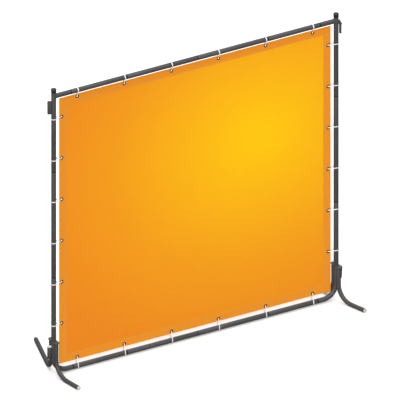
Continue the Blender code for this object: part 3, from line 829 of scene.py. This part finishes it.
class SCREEN_OT_caps(bpy.types.Operator):
    """Add the moulded caps on the posts"""

    bl_idname = "screen.caps"
    bl_label = "Post caps"

    def execute(self, context):
        tubes = context.scene.screen_tubes
        fittings = context.scene.screen_fittings
        play = 0.0002
        flare_height = 0.0006
        # Each step of the rounded top: how far it rises, and how far it then lies inside the flare.
        crown = ((0.0006, 0.0004), (0.0006, 0.0016), (0.0004, 0.006))
        crown_height = sum(rise for rise, _ in crown)
        for side, _ in SIDES:
            low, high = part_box(f"post_cap_{side}")
            outer = (high.x - low.x) / 2
            skirt = outer - fittings.cap_flare
            lip = high.z - fittings.cap_lip
            obj = cylinder(f"cap_{side}", skirt, low.z, lip, ends="NOTHING")
            at_height(obj, lip)
            pull(z=flare_height)
            grow(outer / skirt)
            pull(z=high.z - lip - flare_height - crown_height)
            radius = outer
            for rise, inset in crown:
                pull(z=rise)
                grow((outer - inset) / radius)
                radius = outer - inset
            bpy.ops.mesh.fill()
            bpy.ops.object.mode_set(mode="OBJECT")
            give_wall(obj, skirt - tubes.frame_radius - play, 0)
            put(obj, spot(x=POST_X[side]))
            finish(obj, "moulded polyethylene", FRAME_BODY, "cap_plastic", f"post_cap_{side}")
        return {"FINISHED"}


# ---------------------------------------------------------------- linking pieces


def liner(name, node, radius):
    """A flanged nylon liner."""
    fittings = bpy.context.scene.screen_fittings
    lip_round = 0.0004
    low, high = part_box(node)
    flange = (high.x - low.x) / 2
    seat = high.z - fittings.liner_lip
    obj = cylinder(name, radius, low.z, seat, SMALL_SIDES, "NOTHING")
    at_height(obj, seat)
    pull()
    grow(flange / radius)
    give_wall(obj, fittings.liner_wall, lip_round)
    put(obj, spot(x=(low.x + high.x) / 2))
    top = max(vert.co.z for vert in obj.data.vertices)
    at_height(obj, top)
    bpy.ops.transform.translate(value=(0, 0, high.z - top))
    bpy.ops.object.mode_set(mode="OBJECT")
    finish(obj, "glass-filled nylon", FRAME_BODY, "nylon", node)


class SCREEN_OT_sleeves(bpy.types.Operator):
    """Add the link sleeves and the nylon liners"""

    bl_idname = "screen.sleeves"
    bl_label = "Sleeves and liners"

    def execute(self, context):
        fittings = context.scene.screen_fittings
        for node in ("upper_link_sleeve", "lower_link_sleeve"):
            low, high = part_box(node)
            obj = cylinder(f"{node}_tube", (high.x - low.x) / 2, low.z, high.z, ends="NOTHING")
            give_wall(obj, fittings.sleeve_wall, fittings.link_round)
            put(obj, spot(x=(low.x + high.x) / 2))
            finish(obj, "frame powder coat", FRAME_BODY, "frame_paint", node)
        liner("sleeve_liner", "lower_sleeve_bush", fittings.sleeve_liner)
        liner("cup_liner", "lower_cup_bush", fittings.cup_liner)
        return {"FINISHED"}


class SCREEN_OT_hook(bpy.types.Operator):
    """Add the wedge hook with its pin"""

    bl_idname = "screen.hook"
    bl_label = "Link hook"

    def execute(self, context):
        fittings = context.scene.screen_fittings
        low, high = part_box("upper_link_hook")
        point_length = 0.003
        point_taper = 0.62
        edge_round = 0.0006
        shoulder = high.z - fittings.hook_wedge
        axis = high.x - fittings.hook_shoulder
        start_clean()
        bpy.ops.mesh.primitive_cone_add(
            vertices=TUBE_SIDES,
            radius1=fittings.hook_shoulder,
            radius2=fittings.hook_top,
            depth=high.z - shoulder,
            location=(0, 0, (high.z + shoulder) / 2),
        )
        obj = added("hook_wedge")
        bpy.ops.object.transform_apply(location=True, rotation=True, scale=True)
        at_height(obj, high.z)
        bpy.ops.transform.translate(value=(low.x + fittings.hook_top - axis, 0, 0))
        at_height(obj, shoulder)
        bpy.ops.mesh.inset(thickness=fittings.hook_shoulder - fittings.hook_pin)
        pull(z=low.z + point_length - shoulder)
        pull(z=-point_length)
        grow(point_taper)
        bpy.ops.object.mode_set(mode="OBJECT")
        round_edges(obj, edge_round, limit=ANY_EDGE)
        put(obj, spot(x=axis))
        finish(obj, "frame powder coat", FRAME_BODY, "frame_paint", "upper_link_hook")
        return {"FINISHED"}


class SCREEN_OT_cup(bpy.types.Operator):
    """Add the tapered link cup"""

    bl_idname = "screen.cup"
    bl_label = "Link cup"

    def execute(self, context):
        fittings = context.scene.screen_fittings
        low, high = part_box("lower_link_cup")
        mouth = (high.x - low.x) / 2
        start_clean()
        bpy.ops.mesh.primitive_cone_add(
            vertices=TUBE_SIDES,
            radius1=fittings.cup_foot,
            radius2=mouth,
            depth=high.z - low.z,
            location=(0, 0, (high.z + low.z) / 2),
        )
        obj = added("link_cup_body")
        bpy.ops.object.transform_apply(location=True, rotation=True, scale=True)
        at_height(obj, low.z)
        bpy.ops.transform.translate(value=(fittings.cup_foot - mouth, 0, 0))
        bpy.ops.object.mode_set(mode="OBJECT")
        round_edges(obj, fittings.link_round, limit=ANY_EDGE)
        bore = cylinder("cup_bore", fittings.cup_bore, high.z - fittings.cup_depth, high.z + mouth)
        cut(obj, bore)
        put(obj, spot(x=(low.x + high.x) / 2))
        finish(obj, "frame powder coat", FRAME_BODY, "frame_paint", "lower_link_cup")
        return {"FINISHED"}


# ---------------------------------------------------------------- weld beads


def ripple(turns, at):
    """How much a bead swells at a share of its length."""
    height = 0.10
    return 1 + height * math.sin(FULL * turns * at)


def saddle_bead(name, x, inward):
    """The bead round a stub where it meets the post."""
    tubes = bpy.context.scene.screen_tubes
    radius = tubes.frame_radius
    steps = 120
    saddle_stretch = 1.2
    crotch_round = 0.02
    sunk = 0.35
    start_clean()
    bpy.ops.mesh.primitive_torus_add(
        major_segments=steps, minor_segments=BEAD_SIDES, major_radius=1.0, minor_radius=0.25
    )
    obj = added(name)
    turns = round(FULL * radius * saddle_stretch / tubes.bead_pitch)
    for vert in obj.data.vertices:
        flat = Vector((vert.co.x, vert.co.y))
        phi = math.atan2(flat.y, flat.x)
        theta = math.atan2(vert.co.z, flat.length - 1.0)
        side = math.sqrt(math.sin(phi) ** 2 + crotch_round)
        point = Vector((radius * side, radius * math.cos(phi), radius * math.sin(phi)))
        from_post = Vector((point.x, point.y, 0)).normalized()
        from_stub = Vector((0, point.y, point.z)).normalized()
        out = (from_post + from_stub).normalized()
        slope = math.sin(phi) * math.cos(phi) / side
        along = Vector((radius * slope, -radius * math.sin(phi), radius * math.cos(phi))).normalized()
        across = along.cross(out).normalized()
        girth = tubes.bead_radius * ripple(turns, phi / FULL)
        vert.co = point - out * girth * sunk + (out * math.cos(theta) + across * math.sin(theta)) * girth
        vert.co.x *= inward
    only(obj)
    bpy.ops.object.mode_set(mode="EDIT")
    bpy.ops.mesh.select_all(action="SELECT")
    bpy.ops.mesh.normals_make_consistent(inside=False)
    bpy.ops.object.mode_set(mode="OBJECT")
    put(obj, spot(x=x, z=TOP_RAIL))
    finish(obj, "frame powder coat", FRAME_BODY, "frame_paint")


def straight_bead(name, length):
    """A rippled bead along Z, its ends tapered."""
    tubes = bpy.context.scene.screen_tubes
    rows_a_ripple = 4
    end_girth = 0.45
    end_slope = 8
    turns = round(length / tubes.bead_pitch)
    rows = turns * rows_a_ripple
    step = length / rows
    obj = cylinder(name, tubes.bead_radius, 0, step, BEAD_SIDES)
    for row in range(1, rows):
        at_height(obj, row * step)
        pull(z=step)
    bpy.ops.object.mode_set(mode="OBJECT")
    for vert in obj.data.vertices:
        at = vert.co.z / length
        taper = min(1.0, end_girth + end_slope * min(at, 1 - at))
        swell = ripple(turns, at) * taper
        vert.co.x *= swell
        vert.co.y *= swell
    return obj


class SCREEN_OT_beads(bpy.types.Operator):
    """Add the weld beads at the tees and the linking pieces"""

    bl_idname = "screen.beads"
    bl_label = "Weld beads"

    def execute(self, context):
        tubes = context.scene.screen_tubes
        proud = 0.7
        margin = 0.007
        for side, inward in SIDES:
            saddle_bead(f"tee_weld_{side}", POST_X[side], inward)
        for node in ("upper_link_sleeve", "lower_link_sleeve"):
            low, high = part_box(node)
            sleeve = (high.x - low.x) / 2
            apart = POST_X["left"] - (low.x + high.x) / 2
            near_post = tubes.frame_radius + tubes.bead_radius * proud
            near_sleeve = sleeve + tubes.bead_radius * proud
            along = (near_post**2 - near_sleeve**2 + apart**2) / (2 * apart)
            out = math.sqrt(near_post**2 - along**2)
            bead = straight_bead(f"{node}_weld_front", high.z - low.z - 2 * margin)
            other = copy_of(bead, f"{node}_weld_back")
            for piece, way in ((bead, -1), (other, 1)):
                put(piece, spot(x=POST_X["left"] - along, y=way * out, z=low.z + margin))
                finish(piece, "frame powder coat", FRAME_BODY, "frame_paint")
        return {"FINISHED"}


# ---------------------------------------------------------------- curtain

# Each soft wave of the film: radians across and up the sheet, its start, and its share of the billow.
WAVES = (
    (2.1 * math.pi, 0.0, 0.6, 0.45),
    (0.0, 1.4 * math.pi, 1.1, 0.35),
    (7.3 * math.pi, 1.6, 0.0, 0.10),
    (-1.3, 5.2 * math.pi, 0.0, 0.07),
)
LEAN = 0.25
HELD_POWER = 0.6

# The pucker round each eyelet: its height, how fast it dies away, how far it goes, and its number of folds.
PUCKER_HEIGHT = 0.0010
PUCKER_FADE = 0.06
PUCKER_REACH = 0.16
PUCKER_FOLDS = 6
FLAT_EDGE = 0.05


def eyelets():
    """Each eyelet's name and centre, and the direction from its tube inwards."""
    inset = bpy.context.scene.screen_curtain.eyelet_inset
    a_side = 6
    low, high = CURTAIN_BOX
    found = []
    for row, inward in (("top", (0, -1)), ("bottom", (0, 1)), ("left", (1, 0)), ("right", (-1, 0))):
        for i in range(1, a_side + 1):
            tie_low, tie_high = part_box(f"tie_{row}_{i}")
            middle = (tie_low + tie_high) / 2
            if row == "top":
                x, z = middle.x, high.z - inset
            elif row == "bottom":
                x, z = middle.x, low.z + inset
            elif row == "left":
                x, z = low.x + inset, middle.z
            else:
                x, z = high.x - inset, middle.z
            found.append((f"{row}_{i}", x, z, inward))
    return found


def edge_distance(point):
    """How far a point of the curtain lies from its nearest edge."""
    low, high = CURTAIN_BOX
    return min(point.x - low.x, high.x - point.x, point.z - low.z, high.z - point.z)


def belly(x, z, places):
    """How far the film stands off its plane: a slow belly, soft folds, and puckers at the eyelets."""
    curtain = bpy.context.scene.screen_curtain
    low, high = CURTAIN_BOX
    u = (x - low.x) / (high.x - low.x)
    v = (z - low.z) / (high.z - low.z)
    held = max(0.0, math.sin(math.pi * u) * math.sin(math.pi * v)) ** HELD_POWER
    waves = sum(share * math.sin(across * u + up * v + start) for across, up, start, share in WAVES)
    pucker = 0.0
    for px, pz in places:
        away = math.hypot(x - px, z - pz)
        if away < PUCKER_REACH:
            fold = math.cos(PUCKER_FOLDS * math.atan2(z - pz, x - px))
            pucker += PUCKER_HEIGHT * math.exp(-((away / PUCKER_FADE) ** 2)) * fold
    edge = edge_distance(Vector((x, 0, z)))
    return curtain.billow * held * (waves + LEAN) + pucker * min(1.0, edge / FLAT_EDGE)


def sheet_grid(name, places):
    """A finely divided sheet in the curtain's plane, shaped by its belly."""
    low, high = CURTAIN_BOX
    start_clean()
    bpy.ops.mesh.primitive_grid_add(x_subdivisions=GRID_ACROSS, y_subdivisions=GRID_UP, size=1.0)
    obj = added(name)
    width = high.x - low.x
    height = high.z - low.z
    for vert in obj.data.vertices:
        x = low.x + (vert.co.x + 0.5) * width
        z = low.z + (vert.co.y + 0.5) * height
        vert.co = (x, belly(x, z, places), z)
    return obj


def punch(obj, places, radius):
    """Cut the eyelet holes."""
    reach = 0.02
    bores = []
    for x, z in places:
        bore = cylinder("bore", radius, -reach, reach, HOLE_SIDES)
        put(bore, spot(x=x, z=z, turn=QUARTER, axis="X"))
        bores.append(bore)
    cut(obj, join(*bores))


class SCREEN_OT_curtain(bpy.types.Operator):
    """Add the vinyl curtain and its welded hem"""

    bl_idname = "screen.curtain"
    bl_label = "Curtain"

    def execute(self, context):
        curtain = context.scene.screen_curtain
        low, high = CURTAIN_BOX
        edge_round = 0.0003
        places = [(x, z) for _, x, z, _ in eyelets()]
        film = sheet_grid("curtain_film", places)
        hem = copy_of(film, "curtain_hem")

        # The hem keeps the grid's outer rows, and the rows nearest to its two lines are moved onto them.
        near = 0.51
        cell = (high.x - low.x) / GRID_ACROSS
        choose(hem, lambda co: edge_distance(co) > curtain.hem_width + cell / 2)
        bpy.ops.mesh.delete(type="VERT")
        bpy.ops.object.mode_set(mode="OBJECT")
        weld_line = curtain.hem_width - curtain.weld_band
        for vert in hem.data.vertices:
            for inset in (weld_line, curtain.hem_width):
                for axis in (0, 2):
                    for side in (low[axis] + inset, high[axis] - inset):
                        if abs(vert.co[axis] - side) < cell * near:
                            vert.co[axis] = side
        modify(hem, "SOLIDIFY", thickness=curtain.hem_thickness, offset=0, use_rim=True)
        punch(hem, places, curtain.eyelet_hole + FIT)
        round_edges(hem, edge_round, 1, SQUARE_EDGE)
        for face in hem.data.polygons:
            face.material_index = int(edge_distance(face.center) > weld_line)

        modify(film, "SOLIDIFY", thickness=curtain.film, offset=0, use_rim=True)
        punch(film, places, curtain.eyelet_hole + 2 * FIT)
        finish(film, "tinted vinyl film with painted glow", FRAME_BODY, "curtain_vinyl", "curtain")
        finish(hem, "folded vinyl hem", FRAME_BODY, "curtain_vinyl", second="pressed vinyl weld")
        return {"FINISHED"}


class SCREEN_OT_eyelets(bpy.types.Operator):
    """Add the metal eyelets in the hem"""

    bl_idname = "screen.eyelets"
    bl_label = "Eyelets"

    def execute(self, context):
        curtain = context.scene.screen_curtain
        hole = curtain.eyelet_hole
        gap = 0.0002
        brass = 0.0003
        crown = 0.0011
        # The flange's profile from the hole outwards: shares of its width and of its crown.
        profile = ((0.10, 0.55), (0.28, 0.9), (0.5, 1.0), (0.75, 0.8), (0.93, 0.4), (1.0, 0.02))
        half = curtain.hem_thickness / 2 + gap
        model = cylinder("eyelet", hole, -half, half, SMALL_SIDES, "NOTHING")
        for way in (1, -1):
            at_height(model, way * half)
            radius = hole
            for share, rise in profile:
                target = hole + curtain.eyelet_flange * share
                height = half + crown * rise
                pull()
                current = max(abs(v.co.z) for v in bmesh.from_edit_mesh(model.data).verts if v.select)
                bpy.ops.transform.translate(value=(0, 0, way * (height - current)))
                grow(target / radius)
                radius = target
        bpy.ops.object.mode_set(mode="OBJECT")
        modify(model, "SOLIDIFY", thickness=brass, offset=1, use_rim=True)
        places = eyelets()
        for i, (name, x, z, _) in enumerate(places):
            obj = model if i == len(places) - 1 else copy_of(model, f"eyelet_{name}")
            obj.name = f"eyelet_{name}"
            put(obj, spot(x=x, z=z, turn=QUARTER, axis="X"))
            finish(obj, "blackened brass", FRAME_BODY, "frame_paint")
        return {"FINISHED"}


# ---------------------------------------------------------------- ties


def belt(wide, narrow, apart, share):
    """A point at a share of the way round a belt over a wide circle and a narrow one along +X."""
    contact = math.acos((wide - narrow) / apart)
    run = math.sqrt(apart**2 - (wide - narrow) ** 2)
    lengths = [wide * (FULL - 2 * contact), run, narrow * 2 * contact, run]
    far = Vector((apart, 0))
    at = share * sum(lengths)
    if at <= lengths[0]:
        turn = contact + at / wide
        return Vector((math.cos(turn), math.sin(turn))) * wide
    at -= lengths[0]
    if at <= lengths[1]:
        normal = Vector((math.cos(contact), -math.sin(contact)))
        return (normal * wide).lerp(far + normal * narrow, at / run)
    at -= lengths[1]
    if at <= lengths[2]:
        turn = -contact + at / narrow
        return far + Vector((math.cos(turn), math.sin(turn))) * narrow
    at -= lengths[2]
    normal = Vector((math.cos(contact), math.sin(contact)))
    return (far + normal * narrow).lerp(normal * wide, min(1.0, at / run))


def block(name, dimensions):
    """A box round the origin."""
    start_clean()
    bpy.ops.mesh.primitive_cube_add(size=1.0)
    obj = added(name)
    obj.scale = dimensions
    bpy.ops.object.transform_apply(location=True, rotation=True, scale=True)
    return obj


def tie_head():
    """A cable tie's head with its slot, and the cut tail that comes out of it along +Y."""
    curtain = bpy.context.scene.screen_curtain
    head_height = 0.0056
    head_width = 0.0096
    slot_rim = 0.0013
    slot_depth = 0.0022
    nose = (1, 0.86, 0.9)
    head_round = 0.0005
    tail_length = 0.0030
    tail_share = 0.86
    tail_round = 0.0003
    tail_rise = 0.0016
    tail_lean = math.radians(8)

    head = block("head", (curtain.tie_head, head_height, head_width))
    choose(head, lambda co: co.y > 0)
    bpy.ops.mesh.inset(thickness=slot_rim)
    pull(y=-slot_depth)
    choose(head, lambda co: co.x > 0)
    bpy.ops.transform.resize(value=nose, center_override=(0, -head_height / 2, 0))
    bpy.ops.object.mode_set(mode="OBJECT")
    round_edges(head, head_round, 2, ANY_EDGE)
    tail = block("tail", (curtain.tie_thickness, tail_length, curtain.tie_width * tail_share))
    round_edges(tail, tail_round, 1, ANY_EDGE)
    put(tail, spot(y=tail_rise, turn=tail_lean))
    put(join(head, tail), spot(y=head_height / 2))
    return head


def tie(name, gap):
    """A cable tie round a tube at the origin and an eyelet past a gap along +X, with its width along Z."""
    tubes = bpy.context.scene.screen_tubes
    curtain = bpy.context.scene.screen_curtain
    hole_radius = 0.00475
    strap_round = 0.00025
    wide = tubes.frame_radius + FIT
    narrow = 0.0025
    past_hole_edge = 0.0020
    apart = gap + curtain.eyelet_inset - hole_radius + past_hole_edge - narrow
    half = curtain.tie_width / 2
    strap = cylinder(name, 1.0, -half, half, STRAP_STEPS, "NOTHING")
    for vert in strap.data.vertices:
        share = (math.atan2(vert.co.y, vert.co.x) / FULL) % 1.0
        vert.co.xy = belt(wide, narrow, apart, share)
    modify(strap, "SOLIDIFY", thickness=curtain.tie_thickness, offset=1, use_even_offset=True, use_rim=True)
    round_edges(strap, strap_round, 1, SQUARE_EDGE)

    contact = math.acos((wide - narrow) / apart)
    out = Vector((math.cos(contact), math.sin(contact), 0))
    seat = Vector((apart / 2, 0, 0)) + out * ((wide + narrow) / 2 + curtain.tie_thickness / 2)
    head = tie_head()
    put(head, spot(*seat, turn=contact - QUARTER))
    return join(strap, head)


class SCREEN_OT_ties(bpy.types.Operator):
    """Add the cable ties that hold the curtain"""

    bl_idname = "screen.ties"
    bl_label = "Cable ties"

    def execute(self, context):
        low, high = CURTAIN_BOX
        back = Vector((0, 1, 0))
        gaps = {
            "top": TOP_RAIL - high.z,
            "bottom": low.z - BOTTOM_RAIL,
            "left": low.x - POST_X["left"],
            "right": POST_X["right"] - high.x,
        }
        models = {row: tie(f"tie_model_{row}", gap) for row, gap in gaps.items()}
        for name, x, z, (dx, dz) in eyelets():
            row = name.split("_")[0]
            inward = Vector((dx, 0, dz))
            turn = Matrix((inward, back, inward.cross(back))).transposed().to_4x4()
            centre = {
                "top": (x, 0, TOP_RAIL),
                "bottom": (x, 0, BOTTOM_RAIL),
                "left": (POST_X["left"], 0, z),
                "right": (POST_X["right"], 0, z),
            }[row]
            obj = copy_of(models[row], f"cable_tie_{name}")
            put(obj, Matrix.Translation(centre) @ turn)
            finish(obj, "natural nylon", FRAME_BODY, "nylon", f"tie_{name}")
        for model in models.values():
            bpy.data.objects.remove(model, do_unlink=True)
        return {"FINISHED"}


class SCREEN_OT_cloth(bpy.types.Operator):
    bl_idname = "screen.cloth"
    bl_label = "Declare the curtain"

    def execute(self, context):
        return {"FINISHED"}


# ---------------------------------------------------------------- stage

# How far the camera and the lights stand from the screen, and how far the floor and the camera's sight go.
STAND_OFF = 6
STUDIO_SIZE = 60


def soft_light(name, strength, spread, toward):
    """A broad, soft light that shines from a direction."""
    start_clean()
    bpy.ops.object.light_add(type="SUN", location=toward * STAND_OFF)
    light = bpy.context.object
    light.name = name
    light.data.energy = strength
    light.data.angle = spread
    light.rotation_mode = "QUATERNION"
    light.rotation_quaternion = (-toward).to_track_quat("-Z", "Y")


class SCREEN_OT_stage(bpy.types.Operator):
    """Add the floor, the lights and the camera"""

    bl_idname = "screen.stage"
    bl_label = "Stage"

    def execute(self, context):
        stage = context.scene.screen_stage
        aim = Vector(stage.aim)
        level = math.cos(stage.elevation)
        across = math.sin(stage.azimuth) * level
        back = Vector((across, -math.cos(stage.azimuth) * level, math.sin(stage.elevation)))
        floor_drop = 0.0002
        key_offset = Vector((-0.05, 0, 0.02))
        from_behind = Vector((0.45, 0.8, 0.6))

        start_clean()
        bpy.ops.object.camera_add(location=aim + back * STAND_OFF)
        camera = context.object
        camera.rotation_mode = "QUATERNION"
        camera.rotation_quaternion = (-back).to_track_quat("-Z", "Y")
        camera.data.type = "ORTHO"
        camera.data.ortho_scale = stage.width
        camera.data.clip_end = STUDIO_SIZE
        context.scene.camera = camera

        start_clean()
        bpy.ops.mesh.primitive_plane_add(size=STUDIO_SIZE, location=(0, 0, -floor_drop))
        floor = added("studio_floor")
        material = bpy.data.materials.new("matt studio floor")
        material.use_nodes = True
        paper = material.node_tree.nodes["Principled BSDF"]
        paper.inputs["Base Color"].default_value = linear(stage.floor)
        paper.inputs["Roughness"].default_value = 0.9
        paper.inputs["Specular IOR Level"].default_value = 0.1
        floor.data.materials.append(material)
        # The floor is kept out of reflections and bounced light, so that it doesn't tint the screen.
        floor.visible_glossy = False
        floor.visible_diffuse = False
        context.scene.view_settings.view_transform = "Standard"

        world = bpy.data.worlds.new("studio")
        context.scene.world = world
        world.use_nodes = True
        sky = world.node_tree.nodes["Background"]
        sky.inputs["Color"].default_value = (1.0, 1.0, 1.0, 1.0)
        sky.inputs["Strength"].default_value = stage.world
        soft_light("key_light", stage.key, stage.key_spread, back + key_offset)
        soft_light("overhead_light", stage.top, stage.soft_spread, Vector((0, 0, 1)))
        soft_light("back_light", stage.fill, stage.soft_spread, from_behind)
        return {"FINISHED"}


class SCREEN_PT_panel(bpy.types.Panel):
    """The screen's pieces, sizes and finishes."""

    bl_label = "Welding Screen"
    bl_idname = "SCREEN_PT_panel"
    bl_space_type = "VIEW_3D"
    bl_region_type = "UI"
    bl_category = "Welding Screen"

    def draw(self, context):
        for operator in OPERATORS:
            self.layout.operator(operator.bl_idname)
        for name, group in GROUPS:
            box = self.layout.box()
            for prop in group.__annotations__:
                box.prop(getattr(context.scene, name), prop)


GROUPS = (
    ("screen_tubes", SCREEN_PG_tubes),
    ("screen_fittings", SCREEN_PG_fittings),
    ("screen_curtain", SCREEN_PG_curtain),
    ("screen_finish", SCREEN_PG_finish),
    ("screen_stage", SCREEN_PG_stage),
)
OPERATORS = (
    SCREEN_OT_stage,
    SCREEN_OT_rails,
    SCREEN_OT_posts,
    SCREEN_OT_tees,
    SCREEN_OT_elbows,
    SCREEN_OT_caps,
    SCREEN_OT_yokes,
    SCREEN_OT_legs,
    SCREEN_OT_plugs,
    SCREEN_OT_sleeves,
    SCREEN_OT_hook,
    SCREEN_OT_cup,
    SCREEN_OT_beads,
    SCREEN_OT_curtain,
    SCREEN_OT_eyelets,
    SCREEN_OT_ties,
    SCREEN_OT_cloth,
)


def register():
    for name, group in GROUPS:
        bpy.utils.register_class(group)
        setattr(bpy.types.Scene, name, bpy.props.PointerProperty(type=group))
    for operator in OPERATORS:
        bpy.utils.register_class(operator)
    bpy.utils.register_class(SCREEN_PT_panel)


def unregister():
    bpy.utils.unregister_class(SCREEN_PT_panel)
    for operator in reversed(OPERATORS):
        bpy.utils.unregister_class(operator)
    for name, group in reversed(GROUPS):
        delattr(bpy.types.Scene, name)
        bpy.utils.unregister_class(group)


def main():
    register()
    for operator in OPERATORS:
        group, name = operator.bl_idname.split(".")
        getattr(getattr(bpy.ops, group), name)()
    start_clean()


if __name__ == "__main__":
    main()
